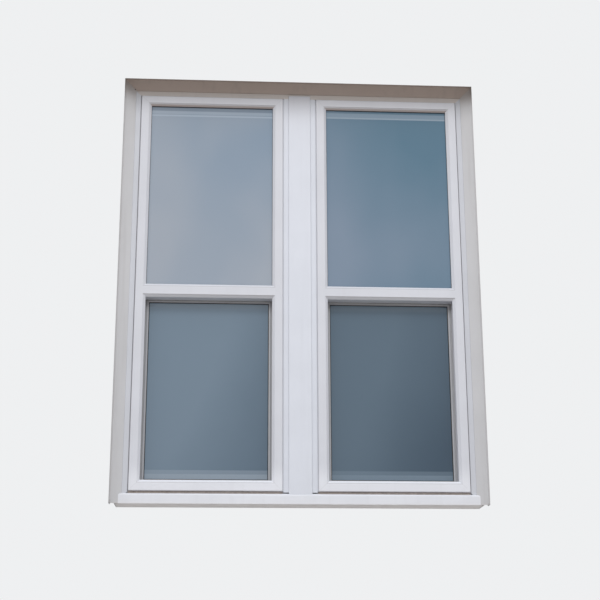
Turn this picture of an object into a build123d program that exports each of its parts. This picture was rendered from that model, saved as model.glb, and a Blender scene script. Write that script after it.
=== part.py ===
"""Vinyl window of two single-hung units side by side, closed and unlocked.

Millimetres. X runs along the window, Y from the outside towards the room, Z up from the underside
of the sill. Every piece is drawn with the outer face of the units at y = 0, and the last step moves
the window so that the middle of the frame's depth lies at y = 0.

Each extruded section is drawn as (u, y): u is the distance outward from the edge of the daylight
opening that the section surrounds, and y the depth behind the outer face of the units.
"""
import os

from build123d import *

# Openings of one unit, measured between the inner edges of its bevels.
OPENING_W = 367.0
UPPER_H = 565.0
LOWER_H = 531.0
MEETING_RAIL_H = 39.5

# Main frame.
FRAME_DEPTH = 83.0        # outer face of the units to the room face
FRAME_SET_BACK = 7.0      # narrow outer face of the frame behind the faces of the units
FRAME_FACE = 15.0         # narrow face that shows between the covers and the units
FRAME_MEMBER = 35.0       # width of the jambs and the height of the head
FRAME_WALL = 2.5
SILL_H = 33.0             # underside of the sill to the seat of the units
SILL_REBATE = 4.0         # step down in front of the seat
MULLION_BAND = 15.0       # narrow face that shows each side of the mullion cover
UNIT_GAP = 2.5            # shadow gap between a unit's face and the frame round it
GAP_DEPTH = 7.0           # the same gap, measured in from the frame's narrow face

# Covers on the outside.
COVER_W = 34.0
COVER_RISE = 16.5         # lip of the cover in front of the frame's narrow face
COVER_LIP = 4.5
COVER_STEP = 1.5          # line between the lip and the slope
COVER_TOE = 2.0           # thickness of the slope's foot on the narrow face
COVER_RETURN = 9.0        # the outer leg reaches this far behind the narrow face
COVER_WALL = 2.5
COVER_FOOT = 5.0          # solid foot along the inner edge
CLIP_LEG = 7.0            # depth that a cover's leg is pushed into its groove
CLIP_WALL = 2.4
CLIP_PLAY = 0.3           # play of a clipped leg in its groove
CLIP_INSET = 10.0         # groove behind the inner edge of a cover
MULLION_COVER_W = 66.0
MULLION_COVER_PROUD = 5.0
MULLION_COVER_LAP = 8.0   # the cover runs this far over the head's narrow face
MULLION_COVER_EDGE = 2.0  # rounded edge
BAR_COVER = 5.0           # vinyl before and behind the bar inside the mullion
NOSE_H = 29.0
NOSE_PROUD = 6.0          # front of the sill nose before the frame's narrow face
NOSE_CLIP_Z = 9.0
CORNER_PIN_HOLE = 3.0     # open inner end of the mitre at the upper left corner

# Profile of the unit frames.
UNIT_FACE = 30.5          # face width, bevel included
BEVEL_W = 6.8
BEVEL_DEPTH = 7.0
BEVEL_LINE = 0.8          # groove between the bevel and the flat face
EDGE_ROUND = 2.5
GLAZING_LEG = 3.0         # thickness of the leg in front of the fixed glass
POCKET_DEPTH = 14.0       # glazing pocket, outward from the daylight edge
GASKET_T = 2.0
FIXED_BEAD_T = 7.0
WEB_T = 8.0               # web between the glazing pocket and the sash track
WEB_EDGE = 2.0
RAIL_LEG_T = 5.0          # rear leg of the fixed meeting rail, behind the pocket
RAIL_LEG_TOP = 8.5        # this leg stops that far below the upper daylight edge
TRACK_DEPTH = 19.0        # sash track, outward from the daylight edge
STOP_T = 10.0             # room-side leg of the unit frame
STOP_EDGE = 3.0
CHANNEL_W = 12.4          # channel of the balance in the floor of the track
CHANNEL_WALL = 1.8        # wall behind the channel
UNIT_WALL = 2.5

# Insulated glass.
PANE = 3.0
GLASS_SPACE = 8.0
FIXED_BITE = 11.0         # fixed glass behind the daylight edge
SASH_BITE = 11.0
SPACER_INSET = 2.0
SPACER_W = 7.0
GASKET_LIP = 0.8          # outside gasket shows this much inside the leg

# Lower sash.
SASH_STOP_GAP = 3.0       # room side of the sash to the stop of the track
SASH_BODY_GAP = 5.0       # web to the body of the sash, closed by the pile
SASH_LEG_AHEAD = 1.0      # front of the sash's leg before the back of the web
SASH_SIDE_INSET = 10.5    # sash daylight inside the unit's daylight
SASH_END_INSET = 8.0
SASH_LEG = 3.5            # thickness of the leg in front of the sash glass
SASH_LEG_FACE = 7.0
SASH_LEG_STEP = 2.0
SASH_LEG_SLANT = 1.0
SASH_SHOULDER = 16.0
SASH_SEAT_GAP = 0.3       # closed sash above the floor of the track
SASH_POCKET = 13.0
SASH_GASKET_T = 1.5
SASH_GASKET_LIP = 2.0
SASH_BEAD_EDGE = 1.5
CHECK_RAIL_GAP = 3.0      # fixed meeting rail to the sash's check rail, closed by the pile
CHECK_RAIL_UP = 13.0
CHECK_RAIL_DROP = 16.0
CHECK_RAIL_INSET = 1.5
BEAD_MITRE_GAP = 0.15     # each bead stops this far short of its mitre
PILE_T = 4.0
PILE_PLAY = 0.3
PILE_INSET = 4.0          # pile strips from the edge that they seal
LIFT_RAIL_TOP = 34.0      # above the lower daylight edge
LIFT_RAIL_FOOT = 16.0     # below it
LIFT_RAIL_T = 2.5
LIFT_RAIL_REACH = 14.5
LIFT_RAIL_LIP = 11.0
LIFT_RAIL_INSET = 3.0
LIFT_RAIL_EDGE = 2.0      # rounded outer edge of the hook

# Spiral balances, one each side of a sash.
TUBE_R = 5.0
TUBE_WALL = 0.8
TUBE_FOOT_GAP = 3.5       # foot of the tube above the upper daylight edge
TUBE_TOP_DROP = 6.5       # head of the tube below the top of the upper daylight
TUBE_SEAT = 0.3
ROD_W = 6.0
ROD_T = 1.2
ROD_PITCH = 96.0
ROD_SECTIONS = 8          # lofted sections in one turn
ROD_IN_TUBE = 30.0        # rod above the foot of the tube when the sash is closed
NUT_PLAY = 0.1            # radial play of the nut in the tube
NUT_SPIGOT = 8.0
NUT_FLANGE = 3.0
NUT_SLOT_PLAY = 0.3
SHOE_H = 16.0
SHOE_PLAY = 0.3
SHOE_TENON = 8.0
SHOE_SOCKET = 6.0         # depth of the rod in its shoe
SOCKET_PLAY = 0.1
TENON_H = 9.0
TENON_T = 8.0
SCREW_R = 1.6
SCREW_HEAD_R = 3.4
SCREW_HEAD_T = 1.6
SCREW_PLAY = 0.1
SCREW_DROP = 10.0         # balance screw below the head of the tube

# Sash lock.
CASE_W = 72.0
CASE_H = 11.4
CASE_CORNER = 8.0
CASE_EDGE = 2.0
CAVITY_H = 4.9
CAVITY_BACK = 12.0
CAVITY_SIDE = 6.5
CAVITY_END = 3.5          # beyond the tip of the tongue
CAM_SET_BACK = 6.0        # pivot behind the front of the sash body
CAM_R = 5.0
TONGUE_L = 17.0
TONGUE_W = 8.0
TONGUE_T = 2.6
TONGUE_LIFT = 1.4
SHAFT_R = 3.0
SHAFT_PLAY = 0.1
LEVER_L = 30.0
LEVER_T = 4.2
LEVER_TIP_R = 3.5
LEVER_EDGE = 1.0
LEVER_LIFT = 0.3
KEEPER_W = 46.0
KEEPER_H = 6.5
KEEPER_WALL = 1.2

# Holes and slots.
MOUNT_HOLE_R = 2.75
MOUNT_HOLE_SET = 4.0      # behind the web
MOUNT_HOLE_INSET = 150.0  # from the lower and upper ends of the units
DRAIN_L = 25.0
DRAIN_W = 4.0
DRAIN_CUT = 7.5           # height of the cutter through one wall
DRAIN_OFFSET = 110.0
BLOCK_L = 60.0
BLOCK_OFFSET = 95.0

# Places that follow from the sizes above.
UNIT_W = OPENING_W + 2 * UNIT_FACE
MULLION_HALF = MULLION_COVER_W / 2 + MULLION_BAND
UNIT_X = MULLION_HALF + UNIT_GAP + UNIT_W / 2
FRAME_INNER_X = UNIT_X + UNIT_W / 2 + UNIT_GAP
FRAME_OUTER_X = FRAME_INNER_X + FRAME_MEMBER
COVER_X = FRAME_INNER_X + FRAME_FACE
HALF_OPENING = OPENING_W / 2
BODY_OUT = UNIT_FACE + UNIT_GAP
LOWER_Z0 = SILL_H + BODY_OUT
LOWER_Z1 = LOWER_Z0 + LOWER_H
UPPER_Z0 = LOWER_Z1 + MEETING_RAIL_H
UPPER_Z1 = UPPER_Z0 + UPPER_H
HEAD_Z = UPPER_Z1 + BODY_OUT
FRAME_TOP = HEAD_Z + FRAME_MEMBER
COVER_Z = HEAD_Z + FRAME_FACE
WINDOW_TOP = COVER_Z + COVER_W
GLASS_T = 2 * PANE + GLASS_SPACE
LEG_BACK = BEVEL_DEPTH + GLAZING_LEG
FIXED_GLASS_Y = LEG_BACK + GASKET_T
BEAD_Y = FIXED_GLASS_Y + GLASS_T
POCKET_BACK = BEAD_Y + FIXED_BEAD_T
RAIL_BACK = POCKET_BACK + RAIL_LEG_T
WEB_BACK = POCKET_BACK + WEB_T
STOP_Y = FRAME_DEPTH - STOP_T
SASH_FRONT = WEB_BACK - SASH_LEG_AHEAD
SASH_BODY_FRONT = WEB_BACK + SASH_BODY_GAP
SASH_BACK = STOP_Y - SASH_STOP_GAP
CHECK_RAIL_FRONT = RAIL_BACK + CHECK_RAIL_GAP
MOUNT_HOLE_Y = WEB_BACK + MOUNT_HOLE_SET
MOUNT_HEIGHTS = (SILL_H + MOUNT_HOLE_INSET, HEAD_Z - MOUNT_HOLE_INSET)
TRACK_MID_Y = (SASH_BODY_FRONT + SASH_BACK) / 2
CHANNEL_Y0 = TRACK_MID_Y - CHANNEL_W / 2
CHANNEL_Y1 = TRACK_MID_Y + CHANNEL_W / 2
CHANNEL_OUT = BODY_OUT - CHANNEL_WALL
SASH_HALF = HALF_OPENING - SASH_SIDE_INSET
SASH_Z0 = LOWER_Z0 + SASH_END_INSET
SASH_Z1 = LOWER_Z1 - SASH_END_INSET
SASH_OUT = TRACK_DEPTH + SASH_END_INSET - SASH_SEAT_GAP
SASH_GLASS_Y = SASH_FRONT + SASH_LEG + SASH_GASKET_T
SASH_BEAD_Y = SASH_GLASS_Y + GLASS_T
SASH_TOP = SASH_Z1 + SASH_OUT + CHECK_RAIL_UP
RAIL_LEG_Z = UPPER_Z0 - RAIL_LEG_TOP
BALANCE_X = HALF_OPENING + CHANNEL_OUT - TUBE_SEAT - TUBE_R
TUBE_Z0 = UPPER_Z0 + TUBE_FOOT_GAP
TUBE_Z1 = UPPER_Z1 - TUBE_TOP_DROP
SHOE_Z0 = LOWER_Z0 - TRACK_DEPTH + SASH_SEAT_GAP
ROD_Z0 = SHOE_Z0 + SHOE_H - SHOE_SOCKET
ROD_Z1 = TUBE_Z0 + ROD_IN_TUBE
CAM_Y = SASH_BODY_FRONT + CAM_SET_BACK
UNITS = {"left": -UNIT_X, "right": UNIT_X}


def block(x0, x1, y0, y1, z0, z1):
    """A plain box between two corners."""
    return Pos((x0 + x1) / 2, (y0 + y1) / 2, (z0 + z1) / 2) * Box(x1 - x0, y1 - y0, z1 - z0)


def outline(*points):
    """A flat face inside straight edges."""
    return make_face(Polyline(*points, close=True))


def group(shapes):
    """Separate solids in one node."""
    return Compound([solid for shape in shapes for solid in shape.solids()])


def rectangle(u0, u1, v0, v1):
    """A flat rectangle between two corners."""
    return Pos((u0 + u1) / 2, (v0 + v1) / 2) * Rectangle(u1 - u0, v1 - v0)


def cross_hole(radius, x0, x1, y, z):
    """A round cutter along X."""
    return Pos((x0 + x1) / 2, y, z) * Rot(0, 90, 0) * Cylinder(radius, x1 - x0)


def mitred_member(section, half_length, distance, short=0.0):
    """One side of a ring, below its middle: the section runs along X and both ends are mitred."""
    box = section.bounding_box()
    outside = half_length + box.max.X - short
    inside = half_length + box.min.X - short
    start = Plane(origin=(-outside, 0, -distance), x_dir=(0, 0, -1), z_dir=(1, 0, 0))
    bar = extrude(start * section, amount=2 * outside)
    low, high = -distance - box.max.X, -distance - box.min.X
    return bar & mitre_mask((-outside, low), (outside, low), (inside, high), (-inside, high))


def ring_members(section, half_w, z0, z1, short=0.0):
    """The four mitred sides of a section that runs round a rectangle."""
    half_h = (z1 - z0) / 2
    flat = mitred_member(section, half_w, half_h, short)
    upright = mitred_member(section, half_h, half_w, short)
    turns = ((flat, 0), (upright, 90), (flat, 180), (upright, 270))
    return [Pos(0, 0, z0 + half_h) * Rot(0, turn, 0) * member for member, turn in turns]


def ring(section, half_w, z0, z1):
    """A section welded round a rectangle into one piece."""
    first, *others = ring_members(section, half_w, z0, z1)
    return first.fuse(*others).clean()


def along_x(section, x0, x1, z0):
    """Extrude a (z, y) section along X; its first coordinate counts up from z0."""
    start = Plane(origin=(x1, 0, z0), x_dir=(0, 0, 1), z_dir=(-1, 0, 0))
    return extrude(start * section, amount=x1 - x0)


def along_z(section, z0, z1, x0=0.0, side=1):
    """Extrude an (x, y) section upward; side -1 mirrors it before it is set out from x0."""
    solid = Pos(0, 0, z0) * extrude(section, amount=z1 - z0)
    return Pos(side * x0, 0, 0) * (solid if side == 1 else mirror(solid, about=Plane.YZ))


def mitre_mask(*corners):
    """A block through the whole depth whose outline in (x, z) gives a member its cut ends."""
    y0, y1 = -FRAME_DEPTH, 2 * FRAME_DEPTH
    face = Plane(origin=(0, y1, 0), x_dir=(1, 0, 0), z_dir=(0, -1, 0)) * outline(*corners)
    return extrude(face, amount=y1 - y0)


def frame_section():
    """Hollow section of the main frame's head and jambs, with the groove for the cover's leg."""
    wall = FRAME_WALL
    section = rectangle(0, FRAME_MEMBER, FRAME_SET_BACK, FRAME_DEPTH)
    groove_u0 = FRAME_FACE + CLIP_INSET - CLIP_PLAY
    groove_u1 = FRAME_FACE + CLIP_INSET + CLIP_WALL + CLIP_PLAY
    groove_y = FRAME_SET_BACK + CLIP_LEG + CLIP_PLAY
    section -= rectangle(groove_u0, groove_u1, 0, groove_y)
    outer = FRAME_MEMBER - wall
    middle = (groove_y + FRAME_DEPTH) / 2
    section -= rectangle(wall, groove_u0 - wall, FRAME_SET_BACK + wall, groove_y)
    section -= rectangle(wall, outer, groove_y + wall, middle - wall / 2)
    section -= rectangle(wall, outer, middle + wall / 2, FRAME_DEPTH - wall)
    return section


def cover_slope_y(u):
    """Depth of the outside of a cover's slope, at u from the cover's inner edge."""
    fall = COVER_RISE - COVER_STEP - COVER_TOE
    return FRAME_SET_BACK - COVER_TOE - fall * u / (COVER_W - COVER_LIP)


def cover_section():
    """Bevelled cover, drawn from its inner edge: foot, slope, lip, return leg and clip leg."""
    back = FRAME_SET_BACK
    inside = COVER_W - COVER_WALL
    hollow_y = cover_slope_y(COVER_W - COVER_LIP) + COVER_WALL
    shell = cover_envelope() + rectangle(inside, COVER_W, back, back + COVER_RETURN)
    shell -= outline(
        (COVER_FOOT, back), (COVER_FOOT, cover_slope_y(COVER_FOOT) + COVER_WALL),
        (COVER_W - COVER_LIP, hollow_y), (inside, hollow_y), (inside, back),
    )
    leg_front = cover_slope_y(CLIP_INSET) + COVER_WALL / 2
    return shell + rectangle(CLIP_INSET, CLIP_INSET + CLIP_WALL, leg_front, back + CLIP_LEG)


def cover_envelope():
    """Front of a cover without its hollow: toe, slope and lip, drawn from its inner edge."""
    lip_u = COVER_W - COVER_LIP
    lip_y = FRAME_SET_BACK - COVER_RISE
    return outline(
        (0, FRAME_SET_BACK), (0, cover_slope_y(0)), (lip_u, cover_slope_y(lip_u)),
        (lip_u, lip_y), (COVER_W, lip_y), (COVER_W, FRAME_SET_BACK),
    )


def make_main_frame():
    """Head, jambs and sill with welded mitres, and the mullion between head and sill."""
    inner, outer = FRAME_INNER_X, FRAME_OUTER_X
    jamb = along_z(frame_section(), 0, FRAME_TOP, inner)
    jamb &= mitre_mask((inner, SILL_H), (outer, 0), (outer, FRAME_TOP), (inner, HEAD_Z))
    for hole in fixing_holes():
        jamb -= hole
    head = along_x(frame_section(), -outer, outer, HEAD_Z)
    head &= mitre_mask((-inner, HEAD_Z), (inner, HEAD_Z), (outer, FRAME_TOP), (-outer, FRAME_TOP))
    sill = along_x(sill_section(), -outer, outer, 0)
    sill &= mitre_mask((-inner, SILL_H), (inner, SILL_H), (outer, 0), (-outer, 0))
    return {
        "frame_head": head,
        "frame_left_jamb": mirror(jamb, about=Plane.YZ),
        "frame_right_jamb": jamb,
        "frame_sill": sill,
        "centre_mullion": make_mullion(),
    }


def fixing_holes():
    """Cutters of the fixing screws, through the stile of the right unit and the right jamb."""
    x0, x1 = UNIT_X + HALF_OPENING, COVER_X + COVER_W
    return [cross_hole(MOUNT_HOLE_R, x0, x1, MOUNT_HOLE_Y, z) for z in MOUNT_HEIGHTS]


def sill_section():
    """Hollow sill: a rebate in front of the seat of the units, and a groove for the nose's leg."""
    front = FRAME_SET_BACK
    seat_y = front + GAP_DEPTH
    section = outline(
        (0, front), (SILL_H - SILL_REBATE, front), (SILL_H - SILL_REBATE, seat_y), (SILL_H, seat_y),
        (SILL_H, FRAME_DEPTH), (0, FRAME_DEPTH),
    )
    groove_y = front + CLIP_LEG + CLIP_PLAY
    section -= rectangle(NOSE_CLIP_Z - CLIP_PLAY, NOSE_CLIP_Z + CLIP_WALL + CLIP_PLAY, front, groove_y)
    top = SILL_H - FRAME_WALL
    middle = (groove_y + FRAME_DEPTH) / 2
    section -= rectangle(FRAME_WALL, top, groove_y + FRAME_WALL, middle - FRAME_WALL / 2)
    section -= rectangle(FRAME_WALL, top, middle + FRAME_WALL / 2, FRAME_DEPTH - FRAME_WALL)
    return section


def mullion_groove_x():
    """Inner side of the grooves that hold the mullion cover's legs."""
    return MULLION_COVER_W / 2 - CLIP_INSET


def mullion_bar_half():
    """Half the width of the bar, which leaves a wall inside each groove."""
    return mullion_groove_x() - FRAME_WALL


def bar_section():
    """Outline of the mullion's reinforcing bar, which sets the size of the chamber round it."""
    half = mullion_bar_half()
    return rectangle(-half, half, FRAME_SET_BACK + CLIP_LEG + BAR_COVER, FRAME_DEPTH - BAR_COVER)


def make_mullion():
    """Hollow mullion: a chamber for the bar, one each side of it, and two grooves for the cover."""
    front = FRAME_SET_BACK
    section = rectangle(-MULLION_HALF, MULLION_HALF, front, FRAME_DEPTH)
    groove_y = front + CLIP_LEG + CLIP_PLAY
    section -= offset(bar_section(), amount=CLIP_PLAY, kind=Kind.INTERSECTION)
    groove_x = mullion_groove_x()
    groove = rectangle(groove_x - CLIP_PLAY, groove_x + CLIP_WALL + CLIP_PLAY, front, groove_y)
    chamber = rectangle(
        mullion_bar_half() + CLIP_PLAY + FRAME_WALL, MULLION_HALF - FRAME_WALL,
        groove_y + FRAME_WALL, FRAME_DEPTH - FRAME_WALL,
    )
    for cut in (groove, chamber):
        section -= cut
        section -= mirror(cut, about=Plane.YZ)
    return along_z(section, SILL_H, HEAD_Z)


def make_mullion_bar():
    """Rectangular aluminium tube inside the mullion."""
    bar = bar_section()
    tube = bar - offset(bar, amount=-FRAME_WALL, kind=Kind.INTERSECTION)
    return along_z(tube, SILL_H, HEAD_Z)


def make_mullion_cover():
    """Flat cover with rounded edges and two clip legs, coped over the round of the sill nose."""
    half = MULLION_COVER_W / 2
    front = FRAME_SET_BACK - MULLION_COVER_PROUD
    plate = rectangle(-half, half, front, FRAME_SET_BACK)
    plate = fillet(plate.vertices().group_by(Axis.Y)[0], radius=MULLION_COVER_EDGE)
    plate -= rectangle(-half + COVER_WALL, half - COVER_WALL, front + COVER_WALL, FRAME_SET_BACK)
    leg_x = mullion_groove_x()
    leg = rectangle(leg_x, leg_x + CLIP_WALL, front + COVER_WALL / 2, FRAME_SET_BACK + CLIP_LEG)
    plate += [leg, mirror(leg, about=Plane.YZ)]
    cover = along_z(plate, NOSE_H - NOSE_PROUD, HEAD_Z + MULLION_COVER_LAP)
    legs_off = block(-half, half, FRAME_SET_BACK, FRAME_DEPTH, HEAD_Z, WINDOW_TOP)
    legs_off += block(-half, half, FRAME_SET_BACK, FRAME_DEPTH, 0, SILL_H)
    return cover - legs_off - along_x(nose_outline(), -half, half, 0)


def nose_outline():
    """Outer form of the sill nose in (z, y), with its quarter-round upper edge."""
    front, back = FRAME_SET_BACK - NOSE_PROUD, FRAME_SET_BACK
    round_z = NOSE_H - NOSE_PROUD
    rounded = rectangle(0, round_z, front, back) + Pos(round_z, back) * Circle(NOSE_PROUD)
    return rounded & rectangle(0, NOSE_H, front, back)


def make_sill_nose():
    """Hollow nose clipped to the sill, its ends coped to the slopes of the side covers."""
    front = FRAME_SET_BACK - NOSE_PROUD
    section = nose_outline()
    section -= rectangle(COVER_WALL, NOSE_H - NOSE_PROUD, front + COVER_WALL, FRAME_SET_BACK)
    leg_front, leg_back = front + COVER_WALL / 2, FRAME_SET_BACK + CLIP_LEG
    section += rectangle(NOSE_CLIP_Z, NOSE_CLIP_Z + CLIP_WALL, leg_front, leg_back)
    reach = COVER_X + COVER_W - COVER_LIP
    nose = along_x(section, -reach, reach, 0)
    legs_off = block(COVER_X, FRAME_OUTER_X + COVER_W, FRAME_SET_BACK, FRAME_DEPTH, 0, NOSE_H)
    cope = along_z(cover_envelope(), 0, WINDOW_TOP, COVER_X)
    for cut in (legs_off, cope):
        nose -= cut
        nose -= mirror(cut, about=Plane.YZ)
    return nose


def make_covers():
    """Head cover and side covers, mitred at the upper corners."""
    x0, x1 = COVER_X, COVER_X + COVER_W
    side = along_z(cover_section(), 0, WINDOW_TOP, x0)
    side &= mitre_mask((x0, 0), (x1, 0), (x1, WINDOW_TOP), (x0, COVER_Z))
    side -= block(x0, x1 - COVER_WALL, FRAME_SET_BACK, FRAME_DEPTH, 0, SILL_H)
    head = along_x(cover_section(), -x1, x1, COVER_Z)
    head &= mitre_mask((-x0, COVER_Z), (x0, COVER_Z), (x1, WINDOW_TOP), (-x1, WINDOW_TOP))
    open_end = Pos(-x0 - CORNER_PIN_HOLE, 0, COVER_Z + CORNER_PIN_HOLE) * Rot(90, 0, 0)
    head -= open_end * Cylinder(CORNER_PIN_HOLE / 2, FRAME_DEPTH)
    left = mirror(side, about=Plane.YZ) - open_end * Cylinder(CORNER_PIN_HOLE / 2, FRAME_DEPTH)
    return {"head_cover": head, "left_jamb_cover": left, "right_jamb_cover": side}


def unit_section():
    """Section of a unit frame: bevelled face, glazing pocket, sash track, balance channel, stop."""
    face_u = BEVEL_W + BEVEL_LINE
    seat_y = FRAME_SET_BACK + GAP_DEPTH
    section = outline(
        (0, BEVEL_DEPTH), (BEVEL_W, BEVEL_LINE), (face_u, BEVEL_LINE), (face_u, 0), (UNIT_FACE, 0),
        (UNIT_FACE, seat_y), (BODY_OUT, seat_y), (BODY_OUT, FRAME_DEPTH), (STOP_EDGE, FRAME_DEPTH),
        (STOP_EDGE, STOP_Y), (TRACK_DEPTH, STOP_Y), (TRACK_DEPTH, CHANNEL_Y1), (CHANNEL_OUT, CHANNEL_Y1),
        (CHANNEL_OUT, CHANNEL_Y0), (TRACK_DEPTH, CHANNEL_Y0), (TRACK_DEPTH, WEB_BACK), (WEB_EDGE, WEB_BACK),
        (WEB_EDGE, POCKET_BACK), (POCKET_DEPTH, POCKET_BACK), (POCKET_DEPTH, LEG_BACK), (0, LEG_BACK),
    )
    outer_edge = section.vertices().group_by(Axis.Y)[0].sort_by(Axis.X)[-1]
    section = fillet(outer_edge, radius=EDGE_ROUND)
    wall = UNIT_WALL
    outer = BODY_OUT - wall
    track = TRACK_DEPTH + wall
    stop = STOP_EDGE + wall
    section -= rectangle(face_u + wall, UNIT_FACE - wall, wall, LEG_BACK - wall)
    section -= rectangle(POCKET_DEPTH + wall, outer, seat_y + wall, WEB_BACK - wall)
    section -= rectangle(track, outer, WEB_BACK, CHANNEL_Y0 - wall)
    section -= outline(
        (track, CHANNEL_Y1 + wall), (outer, CHANNEL_Y1 + wall), (outer, FRAME_DEPTH - wall),
        (stop, FRAME_DEPTH - wall), (stop, STOP_Y + wall), (track, STOP_Y + wall),
    )
    return section


def meeting_rail_section():
    """Fixed meeting rail in (z, y) from its lower edge: two bevels, a glazing pocket, a rear leg."""
    face_u = BEVEL_W + BEVEL_LINE
    top = MEETING_RAIL_H
    leg_top = top - RAIL_LEG_TOP
    return outline(
        (0, BEVEL_DEPTH), (BEVEL_W, BEVEL_LINE), (face_u, BEVEL_LINE), (face_u, 0), (top - face_u, 0),
        (top - face_u, BEVEL_LINE), (top - BEVEL_W, BEVEL_LINE), (top, BEVEL_DEPTH), (top, LEG_BACK),
        (top - POCKET_DEPTH, LEG_BACK), (top - POCKET_DEPTH, POCKET_BACK), (leg_top, POCKET_BACK),
        (leg_top, RAIL_BACK), (0, RAIL_BACK),
    )


def make_unit_frame():
    """Welded rectangle with the fixed meeting rail across it, drained through its lower member."""
    frame = ring(unit_section(), HALF_OPENING, LOWER_Z0, UPPER_Z1)
    rail_half = HALF_OPENING + POCKET_DEPTH
    frame += along_x(meeting_rail_section(), -rail_half, rail_half, LOWER_Z1)
    chamber_z0 = LOWER_Z1 + UNIT_WALL
    chamber_z1 = UPPER_Z0 - POCKET_DEPTH - UNIT_WALL
    frame -= block(-HALF_OPENING, HALF_OPENING, LEG_BACK, POCKET_BACK, chamber_z0, chamber_z1)
    drains = [
        (LEG_BACK / 2, LOWER_Z0 - UNIT_FACE),
        ((FRAME_SET_BACK + GAP_DEPTH + WEB_BACK) / 2, SILL_H),
        ((WEB_BACK + CHANNEL_Y0 - UNIT_WALL) / 2, SILL_H),
        (FRAME_DEPTH - STOP_T / 2, SILL_H),
        (BEAD_Y, chamber_z1),
    ]
    for y, z in drains:
        frame -= drain_slots(y, z)
    screw_hole = cross_hole(SCREW_R + SCREW_PLAY, BALANCE_X, UNIT_W, TRACK_MID_Y, TUBE_Z1 - SCREW_DROP)
    return frame - [screw_hole, mirror(screw_hole, about=Plane.YZ)]


def drain_slots(y, z):
    """Cutters of two drain slots through a horizontal wall."""
    slot = Box(DRAIN_L, DRAIN_W, DRAIN_CUT)
    return [Pos(x, y, z) * slot for x in (-DRAIN_OFFSET, DRAIN_OFFSET)]


def glass_unit(half_w, z0, z1, bite, y):
    """Outer pane, inner pane and the spacer between them."""
    x, low, high = half_w + bite, z0 - bite, z1 + bite
    outer = block(-x, x, y, y + PANE, low, high)
    inner = block(-x, x, y + PANE + GLASS_SPACE, y + GLASS_T, low, high)
    bar = rectangle(SPACER_INSET, SPACER_INSET + SPACER_W, y + PANE, y + PANE + GLASS_SPACE)
    return outer, inner, ring(bar, half_w, z0, z1)


def beads(section, half_w, z0, z1):
    """Four glazing beads round an opening, a little apart at their mitres."""
    return group(ring_members(section, half_w, z0, z1, BEAD_MITRE_GAP))


def setting_blocks(floor_z, thickness, y):
    """Two blocks that the glass stands on."""
    return group(
        block(x - BLOCK_L / 2, x + BLOCK_L / 2, y, y + GLASS_T, floor_z, floor_z + thickness)
        for x in (-BLOCK_OFFSET, BLOCK_OFFSET)
    )


def make_fixed_glazing():
    """Glass, gasket, beads and blocks of the fixed upper lite."""
    opening = (HALF_OPENING, UPPER_Z0, UPPER_Z1)
    outer, inner, spacer = glass_unit(*opening, FIXED_BITE, FIXED_GLASS_Y)
    gasket = ring(rectangle(-GASKET_LIP, FIXED_BITE, LEG_BACK, FIXED_GLASS_Y), *opening)
    bead = rectangle(0, POCKET_DEPTH, BEAD_Y, POCKET_BACK)
    blocks = setting_blocks(UPPER_Z0 - POCKET_DEPTH, POCKET_DEPTH - FIXED_BITE, FIXED_GLASS_Y)
    return {
        "fixed_glass_outer": outer,
        "fixed_glass_inner": inner,
        "fixed_spacer": spacer,
        "fixed_gasket": gasket,
        "fixed_beads": beads(bead, *opening),
        "fixed_setting_blocks": blocks,
    }


def sash_section():
    """Section of the sash frame, from its daylight edge: stepped leg, glass pocket and body."""
    leg_back = SASH_FRONT + SASH_LEG
    step_y = SASH_FRONT + SASH_LEG_STEP
    section = outline(
        (SASH_GASKET_LIP, SASH_FRONT), (SASH_LEG_FACE, SASH_FRONT),
        (SASH_LEG_FACE + SASH_LEG_SLANT, step_y), (SASH_SHOULDER, step_y),
        (SASH_SHOULDER, SASH_BODY_FRONT), (SASH_OUT, SASH_BODY_FRONT), (SASH_OUT, SASH_BACK),
        (SASH_POCKET, SASH_BACK), (SASH_POCKET, leg_back), (SASH_GASKET_LIP, leg_back),
    )
    wall = UNIT_WALL
    section -= rectangle(SASH_POCKET + wall, SASH_OUT - wall, SASH_BODY_FRONT + wall, SASH_BACK - wall)
    return section


def make_sash_frame():
    """Welded sash frame with its taller check rail, drain slots and the mortices of the shoes."""
    frame = ring(sash_section(), SASH_HALF, SASH_Z0, SASH_Z1)
    wall = UNIT_WALL
    outer = SASH_HALF + SASH_OUT
    rail_z = SASH_Z1 + SASH_OUT
    check = block(-outer, outer, SASH_BODY_FRONT, SASH_BACK, rail_z, SASH_TOP)
    check -= block(-outer, outer, SASH_BODY_FRONT + wall, SASH_BACK - wall, rail_z, SASH_TOP - wall)
    front = HALF_OPENING - CHECK_RAIL_INSET
    check += block(-front, front, CHECK_RAIL_FRONT, SASH_BODY_FRONT, SASH_TOP - CHECK_RAIL_DROP, SASH_TOP)
    frame += check
    mortice = shoe_tenon(SHOE_PLAY / 2)
    frame -= drain_slots(TRACK_MID_Y, SASH_Z0 - SASH_OUT)
    return frame - [mortice, mirror(mortice, about=Plane.YZ)]


def shoe_tenon(play):
    """Tenon of the right balance shoe, which enters the sash stile, enlarged by the play."""
    x0 = SASH_HALF + SASH_OUT - SHOE_TENON
    x1 = HALF_OPENING + TRACK_DEPTH + SHOE_PLAY
    z = SHOE_Z0 + SHOE_H / 2
    half_t = TENON_T / 2 + play
    half_h = TENON_H / 2 + play
    y0, y1 = TRACK_MID_Y - half_t, TRACK_MID_Y + half_t
    return block(x0 - play, x1 + play, y0, y1, z - half_h, z + half_h)


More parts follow.
